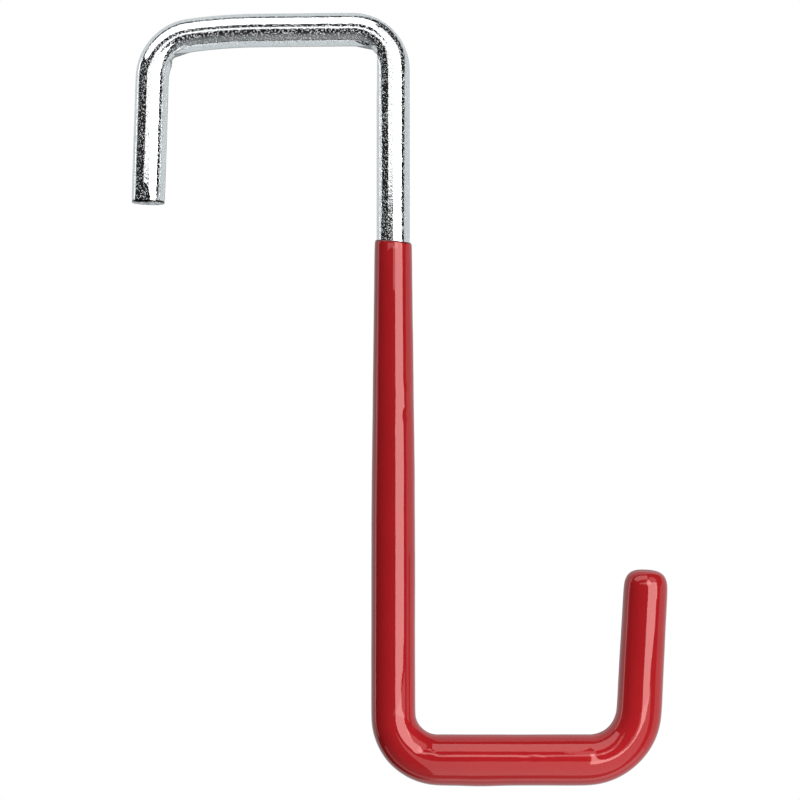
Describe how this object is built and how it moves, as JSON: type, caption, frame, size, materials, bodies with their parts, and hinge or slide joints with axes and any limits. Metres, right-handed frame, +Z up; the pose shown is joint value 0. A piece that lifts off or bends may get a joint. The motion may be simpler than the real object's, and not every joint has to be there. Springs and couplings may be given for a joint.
{
  "type": "joist storage hook",
  "caption": "Round steel rod bent into a squared hook that drops over a joist, with a long shank and an open lower cradle dipped in red vinyl up to a domed tip.",
  "frame": {"origin": "the joist saddle: the middle of the top bar's underside, where it rests on the joist", "axes": "+X from the free arm towards the open side of the lower cradle, +Z up, +Y across the joist's length; the hook lies in the plane Y = 0"},
  "size_m": [0.1031, 0.0096, 0.1486],
  "materials": {
    "zinc_steel": "bright zinc plate over drawn rod, fine grain, tool marks inside the upper bends",
    "red_vinyl": "glossy dipped vinyl, smooth with slow ripples, one run and a thin dip line"
  },
  "bodies": {
    "root": {"steel_rod": "zinc_steel", "vinyl_coating": "red_vinyl"}
  },
  "joints": []
}
